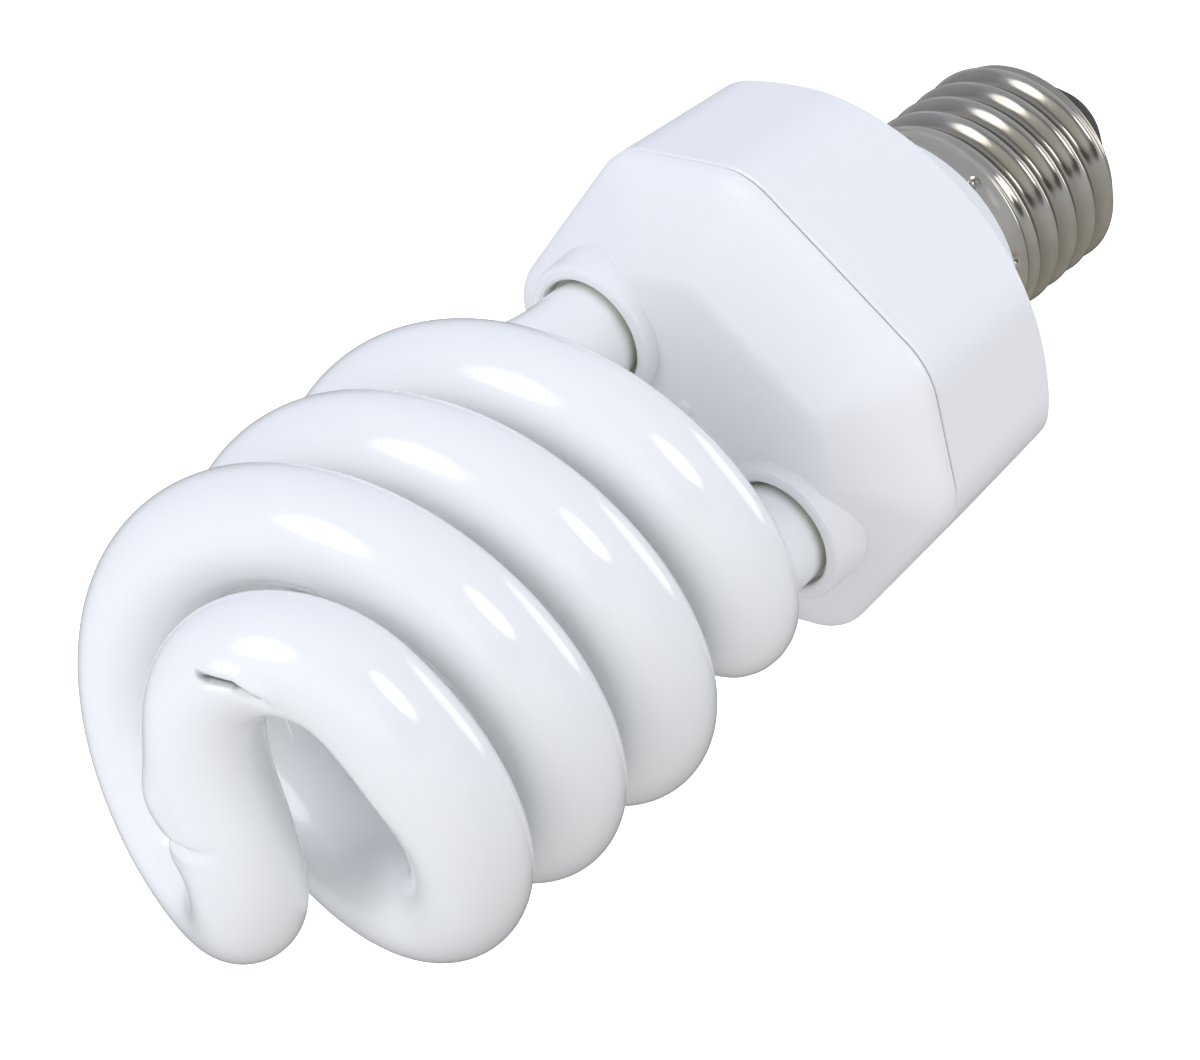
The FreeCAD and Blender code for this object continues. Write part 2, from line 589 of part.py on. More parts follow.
# ===================================================================== output
for name in sorted(nodes):
    s = nodes[name].copy()
    s.translate(V(0, 0, SEAM_Z))
    if not s.isValid():
        print("NOT VALID:", name)
    bb = s.BoundBox
    print("%-24s solids %d vol %9.1f  x %7.2f %7.2f  y %7.2f %7.2f  z %7.2f %7.2f"
          % (name, len(s.Solids), s.Volume, bb.XMin, bb.XMax, bb.YMin, bb.YMax, bb.ZMin, bb.ZMax))
    s.exportStep("parts/%s.step" % name)
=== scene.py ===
import math

import bpy
import numpy as np
from mathutils import Matrix, Vector


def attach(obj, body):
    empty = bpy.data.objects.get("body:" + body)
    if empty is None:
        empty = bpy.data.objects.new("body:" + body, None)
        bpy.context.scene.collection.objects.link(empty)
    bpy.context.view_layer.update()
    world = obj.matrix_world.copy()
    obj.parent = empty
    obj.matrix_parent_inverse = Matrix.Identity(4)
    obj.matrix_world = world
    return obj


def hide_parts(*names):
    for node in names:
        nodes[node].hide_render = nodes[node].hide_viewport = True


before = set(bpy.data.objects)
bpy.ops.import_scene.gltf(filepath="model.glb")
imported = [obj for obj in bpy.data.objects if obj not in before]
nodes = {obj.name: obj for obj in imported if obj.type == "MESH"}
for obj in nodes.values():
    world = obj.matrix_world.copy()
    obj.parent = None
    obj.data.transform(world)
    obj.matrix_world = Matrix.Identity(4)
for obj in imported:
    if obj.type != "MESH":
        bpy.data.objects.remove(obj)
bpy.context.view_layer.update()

scene = bpy.context.scene

MM = 0.001
SEAM = 64.2            # height of the housing seam above the contact, mm

# ---------------------------------------------------------------------------
# camera: 138 mm lens on a 36 mm wide sensor, rolled, looking down at the tip
# ---------------------------------------------------------------------------
CAM_RIGHT = Vector((0.676806, 0.371021, -0.635829))
CAM_UP = Vector((-0.729772, 0.451699, -0.513226))
CAM_BACK = Vector((0.096785, 0.811364, 0.576473))
CAM_POS = Vector((0.0500257, 0.3985441, 0.3737725))

cam_data = bpy.data.cameras.new("camera")
cam_data.sensor_fit = "HORIZONTAL"
cam_data.sensor_width = 36.0
cam_data.lens = 138.0
cam_data.clip_start = 0.01
cam_data.clip_end = 30.0
cam = bpy.data.objects.new("camera", cam_data)
scene.collection.objects.link(cam)
cam.matrix_world = Matrix((
    (CAM_RIGHT.x, CAM_UP.x, CAM_BACK.x, CAM_POS.x),
    (CAM_RIGHT.y, CAM_UP.y, CAM_BACK.y, CAM_POS.y),
    (CAM_RIGHT.z, CAM_UP.z, CAM_BACK.z, CAM_POS.z),
    (0, 0, 0, 1)))
scene.camera = cam
scene.view_settings.view_transform = "Standard"
scene.view_settings.look = "None"


# ---------------------------------------------------------------------------
# node helpers
# ---------------------------------------------------------------------------
def new_material(name):
    m = bpy.data.materials.new(name)
    m.use_nodes = True
    nt = m.node_tree
    nt.nodes.clear()
    out = nt.nodes.new("ShaderNodeOutputMaterial")
    bsdf = nt.nodes.new("ShaderNodeBsdfPrincipled")
    nt.links.new(bsdf.outputs[0], out.inputs[0])
    return m, nt, bsdf


def coords(nt, stretch=(1, 1, 1)):
    tc = nt.nodes.new("ShaderNodeTexCoord")
    mp = nt.nodes.new("ShaderNodeMapping")
    mp.inputs["Scale"].default_value = stretch
    nt.links.new(tc.outputs["Object"], mp.inputs["Vector"])
    return mp.outputs["Vector"]


def noise(nt, vec, size_mm, detail=3.0, rough=0.5):
    n = nt.nodes.new("ShaderNodeTexNoise")
    n.inputs["Scale"].default_value = 1000.0 / size_mm
    n.inputs["Detail"].default_value = detail
    n.inputs["Roughness"].default_value = rough
    nt.links.new(vec, n.inputs["Vector"])
    return n.outputs["Fac"]


def ramp(nt, fac, stops):
    r = nt.nodes.new("ShaderNodeValToRGB")
    el = r.color_ramp.elements
    while len(el) < len(stops):
        el.new(0.5)
    for e, (p, c) in zip(el, stops):
        e.position = p
        e.color = (c[0], c[1], c[2], 1.0)
    nt.links.new(fac, r.inputs["Fac"])
    return r.outputs["Color"]


def remap(nt, val, a, b, lo, hi, smooth=False):
    r = nt.nodes.new("ShaderNodeMapRange")
    if smooth:
        r.interpolation_type = "SMOOTHSTEP"
    r.inputs["From Min"].default_value = a
    r.inputs["From Max"].default_value = b
    r.inputs["To Min"].default_value = lo
    r.inputs["To Max"].default_value = hi
    nt.links.new(val, r.inputs["Value"])
    return r.outputs["Result"]


def math_node(nt, op, a, b=None):
    n = nt.nodes.new("ShaderNodeMath")
    n.operation = op
    for i, v in enumerate((a, b)):
        if v is None:
            continue
        if isinstance(v, (int, float)):
            n.inputs[i].default_value = v
        else:
            nt.links.new(v, n.inputs[i])
    return n.outputs[0]


def mix(nt, fac, a, b):
    n = nt.nodes.new("ShaderNodeMix")
    n.data_type = "RGBA"
    nt.links.new(fac, n.inputs["Factor"])
    for sock, v in ((n.inputs[6], a), (n.inputs[7], b)):
        if isinstance(v, tuple):
            sock.default_value = (v[0], v[1], v[2], 1.0)
        else:
            nt.links.new(v, sock)
    return n.outputs[2]


def bump(nt, height, strength, dist_mm, normal=None):
    b = nt.nodes.new("ShaderNodeBump")
    b.inputs["Strength"].default_value = strength
    b.inputs["Distance"].default_value = dist_mm * MM
    nt.links.new(height, b.inputs["Height"])
    if normal is not None:
        nt.links.new(normal, b.inputs["Normal"])
    return b.outputs["Normal"]


def grainy(name, dark, light, size_mm, rough=(0.3, 0.45), grain_mm=0.3, depth_mm=0.01, metallic=0.0,
           stretch=(1, 1, 1), coat=0.0, coat_rough=0.05, contrast=(0.35, 0.65)):
    # general finish: mottled colour, uneven gloss and a fine surface grain
    m, nt, p = new_material(name)
    v = coords(nt, stretch)
    nt.links.new(ramp(nt, noise(nt, v, size_mm, 4.0), [(contrast[0], dark), (contrast[1], light)]), p.inputs["Base Color"])
    nt.links.new(remap(nt, noise(nt, v, size_mm * 0.4, 3.0), 0.3, 0.7, rough[0], rough[1]), p.inputs["Roughness"])
    nt.links.new(bump(nt, noise(nt, v, grain_mm, 2.0), 0.6, depth_mm), p.inputs["Normal"])
    p.inputs["Metallic"].default_value = metallic
    if coat:
        p.inputs["Coat Weight"].default_value = coat
        p.inputs["Coat Roughness"].default_value = coat_rough
    return m


def wound(name, dark, light, wire_mm, axis, rough=(0.25, 0.4), metallic=0.3):
    # lacquered wire lying turn beside turn
    m, nt, p = new_material(name)
    v = coords(nt)
    w = nt.nodes.new("ShaderNodeTexWave")
    w.wave_type = "BANDS"
    w.bands_direction = axis
    w.wave_profile = "SIN"
    w.inputs["Scale"].default_value = 1000.0 / wire_mm * 0.314 / 2
    w.inputs["Distortion"].default_value = 0.6
    w.inputs["Detail"].default_value = 1.0
    nt.links.new(v, w.inputs["Vector"])
    # painted shade: the colour follows the bump's bands, dark in the grooves between turns and light on their tops
    nt.links.new(ramp(nt, w.outputs["Fac"], [(0.1, dark), (0.75, light)]), p.inputs["Base Color"])
    nt.links.new(remap(nt, noise(nt, v, 1.5), 0.3, 0.7, rough[0], rough[1]), p.inputs["Roughness"])
    nt.links.new(bump(nt, w.outputs["Fac"], 0.8, wire_mm * 0.4), p.inputs["Normal"])
    p.inputs["Metallic"].default_value = metallic
    return m


def finish_node(name, mat):
    ob = nodes[name]
    if not ob.material_slots:
        ob.data.materials.append(mat)
    for s in ob.material_slots:
        s.link = "OBJECT"
        s.material = mat


def mesh_piece(name, verts, faces, mat, node, smooth=True):
    me = bpy.data.meshes.new(name)
    me.from_pydata([tuple(v) for v in verts], [], faces)
    me.validate()
    me.polygons.foreach_set("use_smooth", [smooth] * len(me.polygons))
    me.update()
    ob = bpy.data.objects.new(name, me)
    scene.collection.objects.link(ob)
    me.materials.append(mat)
    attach(ob, "root")
    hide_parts(node)
    return ob


# ---------------------------------------------------------------------------
# glass spiral: one round tube along leg, bend, helix, bridge and back
# ---------------------------------------------------------------------------
TUBE_R = 6.16
COIL_R, PITCH, COIL_Z0 = 22.58, 29.374, 25.165
LEG_X, LEG_BOTTOM, LEG_TOP = 15.05, 1.2, 12.9
ELBOW_UP, ELBOW_ALONG = 14.4, 13.0
COIL_START = 45.06
COIL_END = (622.9, 623.4)
TIP_Z, TIP_DIR = 83.02, 139.4
TIP_OUT, TIP_IN = (6.95, 8.4), (21.0, 21.5)


def helix(deg):
    a = math.radians(deg)
    p = np.array([COIL_R * math.cos(a), COIL_R * math.sin(a), COIL_Z0 + PITCH * deg / 360.0])
    t = np.array([-COIL_R * math.sin(a), COIL_R * math.cos(a), PITCH / (2 * math.pi)])
    return p, t / np.linalg.norm(t)


def bezier(p0, p1, p2, p3, n):
    t = np.linspace(0, 1, n)[:, None]
    return (1 - t) ** 3 * p0 + 3 * (1 - t) ** 2 * t * p1 + 3 * (1 - t) * t * t * p2 + t ** 3 * p3


def half_line(i):
    up = np.array([0, 0, 1.0])
    knee = np.array([LEG_X, 0, LEG_TOP])
    leg = np.linspace(np.array([LEG_X, 0, LEG_BOTTOM]), knee, 60)
    hs, ts = helix(COIL_START)
    he, te = helix(COIL_END[i])
    bend = bezier(knee, knee + up * ELBOW_UP, hs - ts * ELBOW_ALONG, hs, 200)
    coil = np.array([helix(d)[0] for d in np.linspace(COIL_START, COIL_END[i], 1500)])
    tip = np.array([0, 0, TIP_Z])
    d = np.array([math.cos(math.radians(TIP_DIR)), math.sin(math.radians(TIP_DIR)), 0])
    bridge = bezier(he, he + te * TIP_OUT[i], tip - d * TIP_IN[i], tip, 300)
    return np.vstack([leg, bend[1:], coil[1:], bridge[1:]])


first = half_line(0)
second = half_line(1) * np.array([-1, -1, 1])
line = np.vstack([first, second[::-1][1:]])
run = np.concatenate([[0], np.cumsum(np.linalg.norm(np.diff(line, axis=0), axis=1))])
mid_run = run[len(first) - 1]
SIDES = 108
at = np.concatenate([np.linspace(0, mid_run - 36, 285, endpoint=False), np.linspace(mid_run - 36, mid_run + 36, 240, endpoint=False),
                     np.linspace(mid_run + 36, run[-1], 286)])      # rings lie closer together at the bridge
RINGS = len(at)
centre = np.stack([np.interp(at, run, line[:, k]) for k in range(3)], axis=1)
tang = np.gradient(centre, at, axis=0)
tang /= np.linalg.norm(tang, axis=1)[:, None]
u = np.cross(tang[0], np.array([0.0, 1.0, 0.0]))
u /= np.linalg.norm(u)
us = [u]
for k in range(1, RINGS):
    u = u - tang[k] * np.dot(u, tang[k])
    u /= np.linalg.norm(u)
    us.append(u)
us = np.array(us)
ws = np.cross(tang, us)
ang = np.linspace(0, 2 * math.pi, SIDES, endpoint=False)
normal = np.cos(ang)[None, :, None] * us[:, None, :] + np.sin(ang)[None, :, None] * ws[:, None, :]
tube = centre[:, None, :] + (TUBE_R - 0.01) * normal

# worked glass at the bridge: swellings and folds left by bending the tube.
# (run from the middle, its spread, facing direction, its spread round the tube, amount), mm
SWELLS = [(2.4, 3.6, (-0.489, -0.570, 0.661), 3.2, 1.15), (-4.6, 2.2, (-0.489, -0.570, 0.661), 2.2, 0.55),
          (43.0, 8.0, (-0.08, -0.521, 0.850), 3.6, 0.7), (-1.9, 0.6, (-0.25, -0.30, 0.92), 4.2, -0.8)]
# crease where the two limbs were pressed together, along these points of the bend (heights over the seam)
CREASE = np.array([(-8.9, 18.3, 86.1), (-8.63, 18.67, 86.02), (-7.14, 19.64, 85.65), (-5.75, 20.51, 85.16), (-3.22, 20.72, 84.36),
                   (-1.6, 20.5, 83.4)])
FOLD_AT = -1.9
along_run = (at - mid_run)[:, None]
shift = np.zeros(tube.shape[:2])
for s0, ds, face, dc, amount in SWELLS:
    f = np.array(face) - tang * (tang @ np.array(face))[:, None]
    f /= np.linalg.norm(f, axis=1)[:, None]
    arc = TUBE_R * np.arccos(np.clip(np.einsum("ijk,ik->ij", normal, f), -1, 1))
    w = amount * np.exp(-((along_run - s0) / ds) ** 2) * np.exp(-(arc / dc) ** 2)
    if s0 > FOLD_AT and s0 < 10:
        w = w * np.clip((along_run - FOLD_AT + 0.5) / 1.2, 0, 1)
    if s0 < FOLD_AT - 1:
        w = w * np.clip((FOLD_AT - 0.2 - along_run) / 0.8, 0, 1)
    shift += w
near = np.full(tube.shape[:2], 99.0)
side = np.zeros(tube.shape[:2])
reach = np.zeros(tube.shape[:2])
legs = np.diff(CREASE, axis=0)
lengths = np.linalg.norm(legs, axis=1)
for k in range(len(legs)):
    rel = tube - CREASE[k]
    t = np.clip(rel @ legs[k] / lengths[k] ** 2, 0, 1)
    off = rel - t[:, :, None] * legs[k]
    d = np.linalg.norm(off, axis=2)
    across = np.cross(legs[k] / lengths[k], np.array([0.17, 0.25, 0.95]))      # toward the outside of the bend
    better = d < near
    side = np.where(better, off @ -across, side)
    reach = np.where(better, lengths[:k].sum() + t * lengths[k], reach)
    near = np.where(better, d, near)
taper = np.clip(reach / 1.2, 0, 1) * np.clip((lengths.sum() - reach) / 2.5, 0, 1) * (near < 4.0)
shift += taper * (-1.0 * np.exp(-((side + 0.25) / 0.55) ** 2) + 0.45 * np.exp(-((side - 1.0) / 0.8) ** 2)) * np.exp(-(near / 2.2) ** 4)
tube = tube + shift[:, :, None] * normal
tube[:, :, 2] = np.minimum(tube[:, :, 2], TIP_Z + TUBE_R - 0.02)

verts = (tube.reshape(-1, 3) + np.array([0, 0, SEAM])) * MM
faces = []
for i in range(RINGS - 1):
    for j in range(SIDES):
        k = (j + 1) % SIDES
        faces.append((i * SIDES + j, i * SIDES + k, (i + 1) * SIDES + k, (i + 1) * SIDES + j))
faces.append(tuple(range(SIDES))[::-1])
faces.append(tuple((RINGS - 1) * SIDES + j for j in range(SIDES)))

glass, nt, p = new_material("coated_glass")
v = coords(nt)
tc = nt.nodes.new("ShaderNodeTexCoord")
sep = nt.nodes.new("ShaderNodeSeparateXYZ")
nt.links.new(tc.outputs["Object"], sep.inputs[0])
powder_and_shade = ramp(nt, noise(nt, v, 14.0, 5.0), [(0.3, (0.966, 0.975, 0.975)), (0.7, (0.972, 0.980, 0.980))])
speck = remap(nt, noise(nt, v, 1.1, 2.0), 0.70, 0.78, 0.0, 0.05)
powder_and_shade = mix(nt, speck, powder_and_shade, (0.76, 0.78, 0.79))
# the phosphor coating stops near the leg ends, as on the real tube; the flat dark olive-grey given to the bare glass
# there is painted shade of the collar recess seen through it
cover = remap(nt, math_node(nt, "ADD", sep.outputs["Z"], remap(nt, noise(nt, v, 4.0), 0.3, 0.7, -0.0003, 0.0003)),
              (SEAM + 8.8) * MM, (SEAM + 11.0) * MM, 0.0, 1.0, True)
powder_and_shade = mix(nt, cover, (0.56, 0.57, 0.46), powder_and_shade)
# painted shade: along the fold crease the tube's colour is darkened nearly to black, standing in for the shadow inside
# the fold
for a, b, wide, crease_shade in ((1, 3, 0.40, 0.94), (3, 4, 0.24, 0.75)):
    # distance to this stretch of the crease
    start = Vector(CREASE[a] - (0.15, 0.21, 0.80) + (0, 0, SEAM)) * MM
    leg = Vector(CREASE[b] - CREASE[a]) * MM
    rel = nt.nodes.new("ShaderNodeVectorMath")
    rel.operation = "SUBTRACT"
    nt.links.new(tc.outputs["Object"], rel.inputs[0])
    rel.inputs[1].default_value = start
    part = nt.nodes.new("ShaderNodeVectorMath")
    part.operation = "DOT_PRODUCT"
    nt.links.new(rel.outputs["Vector"], part.inputs[0])
    part.inputs[1].default_value = leg / leg.length_squared
    foot = nt.nodes.new("ShaderNodeVectorMath")
    foot.operation = "SCALE"
    foot.inputs[0].default_value = leg
    nt.links.new(remap(nt, part.outputs["Value"], 0.0, 1.0, 0.0, 1.0), foot.inputs["Scale"])
    gap = nt.nodes.new("ShaderNodeVectorMath")
    gap.operation = "DISTANCE"
    nt.links.new(rel.outputs["Vector"], gap.inputs[0])
    nt.links.new(foot.outputs["Vector"], gap.inputs[1])
    powder_and_shade = mix(nt, remap(nt, gap.outputs["Value"], wide * 2.6 * MM, wide * MM, 0.0, crease_shade), powder_and_shade, (0.10, 0.11, 0.10))
nt.links.new(powder_and_shade, p.inputs["Base Color"])
nt.links.new(remap(nt, noise(nt, v, 6.0), 0.3, 0.7, 0.45, 0.6), p.inputs["Roughness"])
nt.links.new(bump(nt, noise(nt, coords(nt, (1, 1, 1)), 9.0, 2.0), 0.25, 0.05), p.inputs["Normal"])
p.inputs["Specular IOR Level"].default_value = 0.1
p.inputs["Coat Weight"].default_value = 1.0
p.inputs["Coat Roughness"].default_value = 0.05
p.inputs["Coat IOR"].default_value = 1.6
spiral = mesh_piece("spiral_tube", verts, faces, glass, "glass_spiral_tube")

# ---------------------------------------------------------------------------
# rolled screw shell with punched stake marks round its skirt
# ---------------------------------------------------------------------------
CREST_R, ROOT_R, THREAD_PITCH, SHEET = 13.22, 12.10, 3.629, 0.30
SKIRT_R, SHELL_TOP = 12.95, -32.45
LIP_START, LIP_DROP, LIP_R = -53.6, 2.1, 9.75
THREAD_ON, THREAD_OFF, THREAD_PHASE = (-36.4, -38.2), (-53.6, -54.9), -42.61
STAKE_Z, STAKE_AT, STAKES = -34.6, 44.3, 8


def step(a, b, x):
    t = min(1.0, max(0.0, (x - a) / (b - a)))
    return t * t * (3 - 2 * t)


def mean_radius(z):
    skirt = SKIRT_R + 0.25 * step(-34.2, -36.3, z)      # widens slightly above the first turn
    return skirt + (0.5 * (CREST_R + ROOT_R) - skirt) * step(THREAD_ON[0], THREAD_ON[1], z)


def shell_rows(sheet, straight, curl):
    # (height, mean radius) down the shell and round its curled end
    rows = [(z, mean_radius(z) - sheet) for z in np.linspace(SHELL_TOP, LIP_START, straight)]
    for a in np.linspace(0, math.pi / 2, curl)[1:]:
        rows.append((LIP_START - (LIP_DROP - sheet) * math.sin(a),
                     LIP_R + (mean_radius(LIP_START) - sheet - LIP_R) * math.cos(a)))
    return rows


def shell_radius(z, mean, th):
    amp = 0.5 * (CREST_R - ROOT_R) * step(THREAD_ON[0], THREAD_ON[1], z) * (1 - step(THREAD_OFF[0], THREAD_OFF[1], z))
    r = mean + amp * np.cos(2 * math.pi * ((z - THREAD_PHASE) / THREAD_PITCH) - th)
    for k in range(STAKES):
        a = math.radians(STAKE_AT + 360.0 / STAKES * k)
        da = (th - a + math.pi) % (2 * math.pi) - math.pi
        d = np.hypot(da * SKIRT_R, (z - STAKE_Z) * 1.0)
        r = r - 0.42 * np.clip(1 - (d / 0.85) ** 2, 0, 1) ** 1.5
    return r


AROUND = 320
th = np.linspace(0, 2 * math.pi, AROUND, endpoint=False)
rows = [(shell_radius(z, m, th), z) for z, m in shell_rows(0.0, 118, 20)]
rows += [(shell_radius(z, m, th), z) for z, m in reversed(shell_rows(SHEET, 60, 10))]
verts = []
for r, z in rows:
    for j in range(AROUND):
        verts.append((r[j] * math.cos(th[j]) * MM, r[j] * math.sin(th[j]) * MM, (z + SEAM) * MM))
faces = []
n_rows = len(rows)
for i in range(n_rows):
    i2 = (i + 1) % n_rows
    for j in range(AROUND):
        k = (j + 1) % AROUND
        faces.append((i * AROUND + j, i2 * AROUND + j, i2 * AROUND + k, i * AROUND + k))

nickel, nt, p = new_material("nickel_plate")
v = coords(nt)
tc = nt.nodes.new("ShaderNodeTexCoord")
sep = nt.nodes.new("ShaderNodeSeparateXYZ")
nt.links.new(tc.outputs["Object"], sep.inputs[0])
rad = math_node(nt, "SQRT", math_node(nt, "ADD", math_node(nt, "MULTIPLY", sep.outputs["X"], sep.outputs["X"]),
                                      math_node(nt, "MULTIPLY", sep.outputs["Y"], sep.outputs["Y"])))
# painted shade: the thread roots are coloured darker and browner than the crests, standing in for the shade in the
# grooves
height = remap(nt, rad, 0.0120, 0.0131, 0.0, 1.0)
tone = ramp(nt, noise(nt, v, 5.0, 4.0), [(0.3, (0.40, 0.375, 0.322)), (0.7, (0.485, 0.46, 0.405))])
nt.links.new(mix(nt, height, (0.31, 0.283, 0.236), tone), p.inputs["Base Color"])
fine = noise(nt, coords(nt, (1, 1, 6)), 1.2, 3.0)
nt.links.new(remap(nt, fine, 0.3, 0.7, 0.10, 0.21), p.inputs["Roughness"])
nt.links.new(bump(nt, noise(nt, coords(nt, (1, 1, 8)), 0.9, 2.0), 0.25, 0.012), p.inputs["Normal"])
p.inputs["Metallic"].default_value = 1.0
shell = mesh_piece("rolled_screw_shell", verts, faces, nickel, "screw_shell")

# ---------------------------------------------------------------------------
# housing plastic
# ---------------------------------------------------------------------------
plastic, nt, p = new_material("moulded_white_plastic")
v = coords(nt)
nt.links.new(ramp(nt, noise(nt, v, 22.0, 4.0), [(0.3, (0.945, 0.948, 0.958)), (0.7, (0.960, 0.958, 0.968))]), p.inputs["Base Color"])
nt.links.new(remap(nt, noise(nt, v, 2.5, 3.0), 0.3, 0.7, 0.30, 0.40), p.inputs["Roughness"])
nt.links.new(bump(nt, noise(nt, v, 0.35, 3.0), 0.35, 0.008), p.inputs["Normal"])
p.inputs["Subsurface Weight"].default_value = 0.0
for n in ("tube_holder", "rear_housing"):
    finish_node(n, plastic)

# ---------------------------------------------------------------------------
# cap end, cement and the ballast inside
# ---------------------------------------------------------------------------
black_glass = grainy("black_cap_glass", (0.008, 0.008, 0.009), (0.02, 0.019, 0.018), 3.0, (0.25, 0.4), 0.5, 0.02)
for n in black_glass.node_tree.nodes:
    if n.type == "BSDF_PRINCIPLED":
        n.inputs["Specular IOR Level"].default_value = 0.12
finish_node("cap_insulator", black_glass)
finish_node("centre_contact", grainy("tinned_contact", (0.48, 0.46, 0.42), (0.66, 0.64, 0.60), 1.6, (0.25, 0.5), 0.4, 0.03, metallic=1.0))
cement = grainy("tube_cement", (0.76, 0.755, 0.71), (0.88, 0.875, 0.835), 1.2, (0.7, 0.9), 0.25, 0.05)
finish_node("tube_cement_left", cement)
finish_node("tube_cement_right", cement)
finish_node("circuit_board", grainy("board_laminate", (0.42, 0.30, 0.13), (0.52, 0.39, 0.19), 2.5, (0.4, 0.6), 0.4, 0.02, stretch=(1, 3, 1)))
finish_node("electrolytic_capacitor", grainy("capacitor_sleeve", (0.015, 0.018, 0.03), (0.03, 0.035, 0.05), 4.0, (0.25, 0.4), 0.6, 0.01))
ferrite = grainy("ferrite", (0.035, 0.034, 0.033), (0.075, 0.07, 0.068), 0.8, (0.55, 0.75), 0.15, 0.03)
for n in ("choke_core", "toroid_core", "input_choke_core"):
    finish_node(n, ferrite)
finish_node("choke_bobbin", grainy("bobbin_plastic", (0.05, 0.05, 0.055), (0.09, 0.09, 0.095), 3.0, (0.35, 0.5), 0.3, 0.01))
finish_node("choke_winding", wound("choke_wire", (0.16, 0.05, 0.02), (0.66, 0.26, 0.10), 0.25, "Z"))
finish_node("input_choke_winding", wound("input_choke_wire", (0.17, 0.05, 0.02), (0.68, 0.28, 0.11), 0.3, "Z"))
finish_node("toroid_windings", grainy("hookup_sleeve", (0.30, 0.06, 0.05), (0.44, 0.10, 0.07), 1.5, (0.35, 0.5), 0.3, 0.01))
epoxy = grainy("black_epoxy", (0.02, 0.02, 0.022), (0.045, 0.045, 0.047), 1.2, (0.5, 0.7), 0.2, 0.02)
for n in ("transistor_upper", "transistor_lower", "rectifier_diodes"):
    finish_node(n, epoxy)
finish_node("resonant_capacitor", grainy("film_brown", (0.24, 0.09, 0.03), (0.36, 0.15, 0.06), 2.5, (0.15, 0.3), 1.0, 0.03, coat=0.5))
finish_node("coupling_capacitor", grainy("film_green", (0.03, 0.14, 0.07), (0.05, 0.21, 0.10), 2.5, (0.15, 0.3), 1.0, 0.03, coat=0.5))
finish_node("snubber_capacitor", grainy("film_brown_small", (0.26, 0.10, 0.035), (0.38, 0.16, 0.065), 2.0, (0.15, 0.3), 0.8, 0.03, coat=0.5))
finish_node("trigger_diac", grainy("blue_lacquer", (0.03, 0.08, 0.26), (0.06, 0.13, 0.36), 1.5, (0.15, 0.3), 0.6, 0.02, coat=0.5))
finish_node("base_resistors", grainy("resistor_tan", (0.46, 0.33, 0.19), (0.58, 0.43, 0.26), 1.5, (0.3, 0.45), 0.5, 0.02))
finish_node("start_resistor", grainy("resistor_tan_long", (0.44, 0.32, 0.18), (0.56, 0.42, 0.25), 1.5, (0.3, 0.45), 0.5, 0.02))
finish_node("fusible_resistor", grainy("resistor_green", (0.10, 0.20, 0.12), (0.16, 0.28, 0.18), 1.5, (0.4, 0.6), 0.5, 0.02))
tinned = grainy("tinned_wire", (0.50, 0.49, 0.47), (0.68, 0.67, 0.65), 0.8, (0.2, 0.4), 0.3, 0.01, metallic=1.0)
for n in ("wire_wrap_pins", "filament_leads_left", "filament_leads_right", "neutral_lead"):
    finish_node(n, tinned)
finish_node("live_lead", grainy("lead_insulation", (0.36, 0.03, 0.025), (0.48, 0.05, 0.04), 2.0, (0.35, 0.5), 0.4, 0.01))

# ---------------------------------------------------------------------------
# floor, world and soft boxes
# ---------------------------------------------------------------------------
floor_mat, nt, p = new_material("pale_floor")
v = coords(nt)
nt.links.new(ramp(nt, noise(nt, v, 900.0, 2.0), [(0.3, (0.90, 0.90, 0.90)), (0.7, (0.92, 0.92, 0.92))]), p.inputs["Base Color"])
p.inputs["Roughness"].default_value = 0.9
p.inputs["Specular IOR Level"].default_value = 0.0
p.inputs["Emission Color"].default_value = (1.0, 1.0, 1.0, 1.0)
p.inputs["Emission Strength"].default_value = 0.6
S, FZ = 6.0, -0.30
me = bpy.data.meshes.new("floor")
me.from_pydata([(-S, -S, FZ), (S, -S, FZ), (S, S, FZ), (-S, S, FZ)], [], [(0, 1, 2, 3)])
me.materials.append(floor_mat)
floor = bpy.data.objects.new("floor", me)
scene.collection.objects.link(floor)
floor.visible_diffuse = False
floor.visible_glossy = False

world = bpy.data.worlds.new("studio")
scene.world = world
world.use_nodes = True
nt = world.node_tree
nt.nodes.clear()
w_out = nt.nodes.new("ShaderNodeOutputWorld")
bg = nt.nodes.new("ShaderNodeBackground")
nt.links.new(bg.outputs[0], w_out.inputs[0])
sky = nt.nodes.new("ShaderNodeTexCoord").outputs["Generated"]


def along(axis):
    n = nt.nodes.new("ShaderNodeVectorMath")
    n.operation = "DOT_PRODUCT"
    n.inputs[1].default_value = tuple(axis)
    nt.links.new(sky, n.inputs[0])
    return n.outputs["Value"]


def vec_op(op, a, b):
    n = nt.nodes.new("ShaderNodeVectorMath")
    n.operation = op
    for sock, x in zip(n.inputs, (a, b)):
        if isinstance(x, tuple):
            sock.default_value = x
        else:
            nt.links.new(x, sock)
    return n.outputs["Vector"]


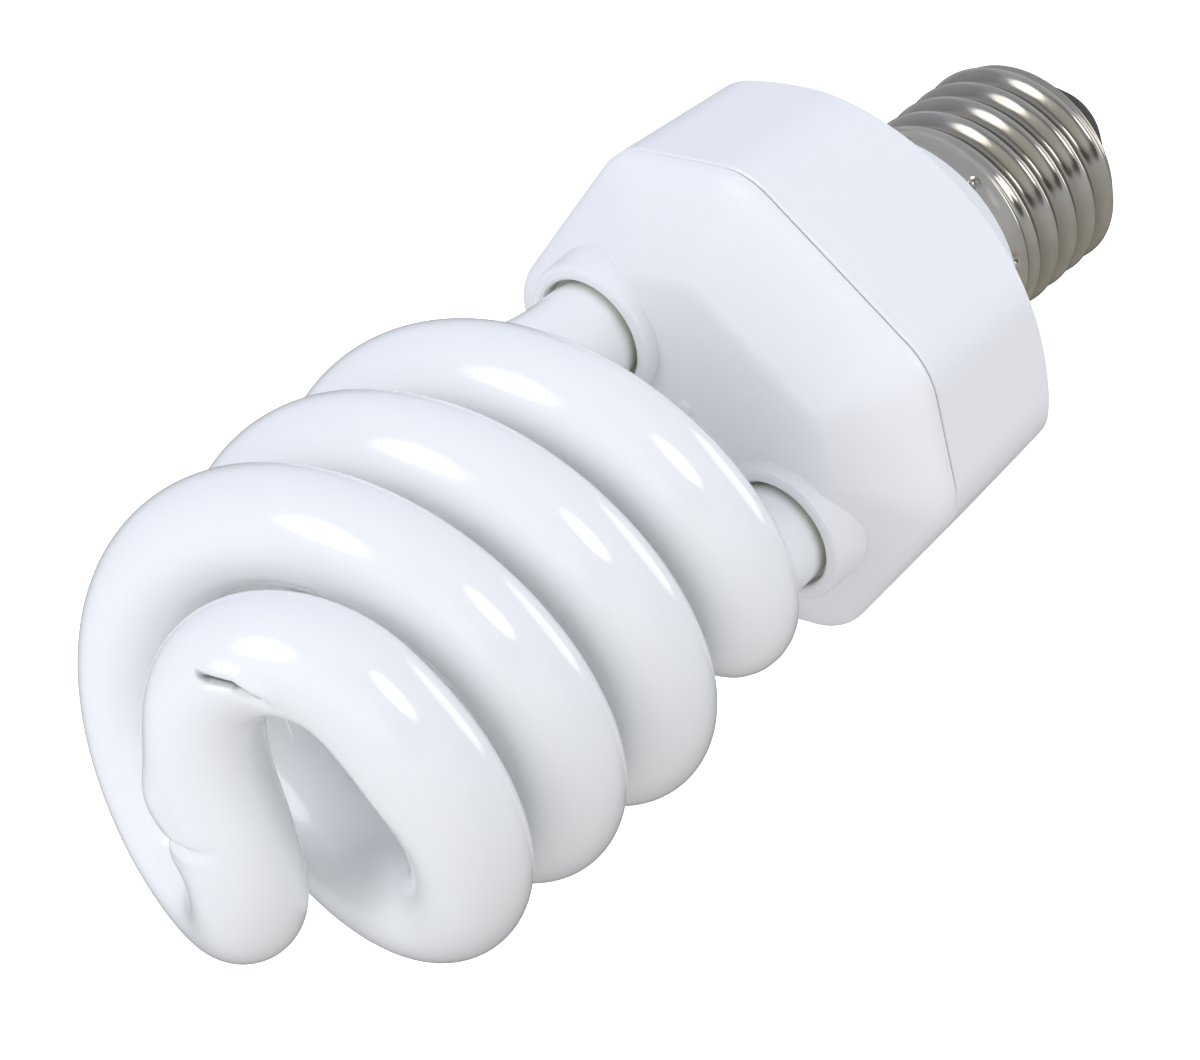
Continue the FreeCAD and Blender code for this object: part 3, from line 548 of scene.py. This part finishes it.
def glow(right, up, back, half_w, half_h, radiance, lean=0.0):
    # soft-edged oval source, taller along the picture's upright or leaning from it
    c = (CAM_RIGHT * right + CAM_UP * up + CAM_BACK * back).normalized()
    b = CAM_UP * math.cos(lean) + CAM_RIGHT * math.sin(lean)
    b = (b - c * b.dot(c)).normalized()
    a = b.cross(c)
    x = math_node(nt, "MULTIPLY", along(a), 1.0 / half_w)
    y = math_node(nt, "MULTIPLY", along(b), 1.0 / half_h)
    q = math_node(nt, "ADD", math_node(nt, "MULTIPLY", x, x), math_node(nt, "MULTIPLY", y, y))
    m = math_node(nt, "MULTIPLY", remap(nt, q, 1.0, 0.45, 0.0, 1.0, True), math_node(nt, "GREATER_THAN", along(c), 0.0))
    n = nt.nodes.new("ShaderNodeVectorMath")
    n.operation = "SCALE"
    n.inputs[0].default_value = radiance
    nt.links.new(m, n.inputs["Scale"])
    return n.outputs["Vector"]


# cool from above the lamp, warmer from below, darker behind the lamp and round the camera
tone = ramp(nt, remap(nt, along((-0.70, 0.683, 0.213)), -1.0, 1.0, 0.0, 1.0),
            [(0.0, (0.45, 0.44, 0.41)), (0.5, (0.745, 0.775, 0.855)), (1.0, (0.56, 0.605, 0.715))])
depth = ramp(nt, remap(nt, along(CAM_BACK), -1.0, 1.0, 0.0, 1.0),
             [(0.0, (0.36, 0.36, 0.34)), (0.08, (0.50, 0.50, 0.48)), (0.22, (1.0, 1.0, 1.0)), (0.55, (1.0, 1.0, 1.0)),
              (0.85, (0.92, 0.92, 0.92)), (0.95, (0.55, 0.53, 0.50)), (1.0, (0.30, 0.28, 0.25))])
light = vec_op("MULTIPLY", tone, depth)
light = vec_op("MULTIPLY", light, vec_op("SUBTRACT", (1.0, 1.0, 1.0), glow(0.55, -0.26, 0.79, 0.17, 0.55, (0.75, 0.76, 0.77), 0.94)))
light = vec_op("MULTIPLY", light, vec_op("SUBTRACT", (1.0, 1.0, 1.0), glow(-0.90, 0.35, -0.10, 0.65, 0.65, (0.28, 0.28, 0.26))))
light = vec_op("ADD", light, glow(0.80, 0.42, -0.43, 0.30, 0.26, (1.8, 1.8, 1.8)))
light = vec_op("ADD", light, glow(-0.36, -0.20, 0.91, 0.64, 0.64, (0.47, 0.465, 0.455)))
light = vec_op("ADD", light, glow(-0.63, 0.22, 0.745, 0.33, 0.37, (2.35, 2.35, 2.4)))
light = vec_op("ADD", light, glow(0.63, 0.245, 0.737, 0.23, 0.28, (3.8, 3.8, 3.8)))
nt.links.new(light, bg.inputs["Color"])
bg.inputs["Strength"].default_value = 1.105
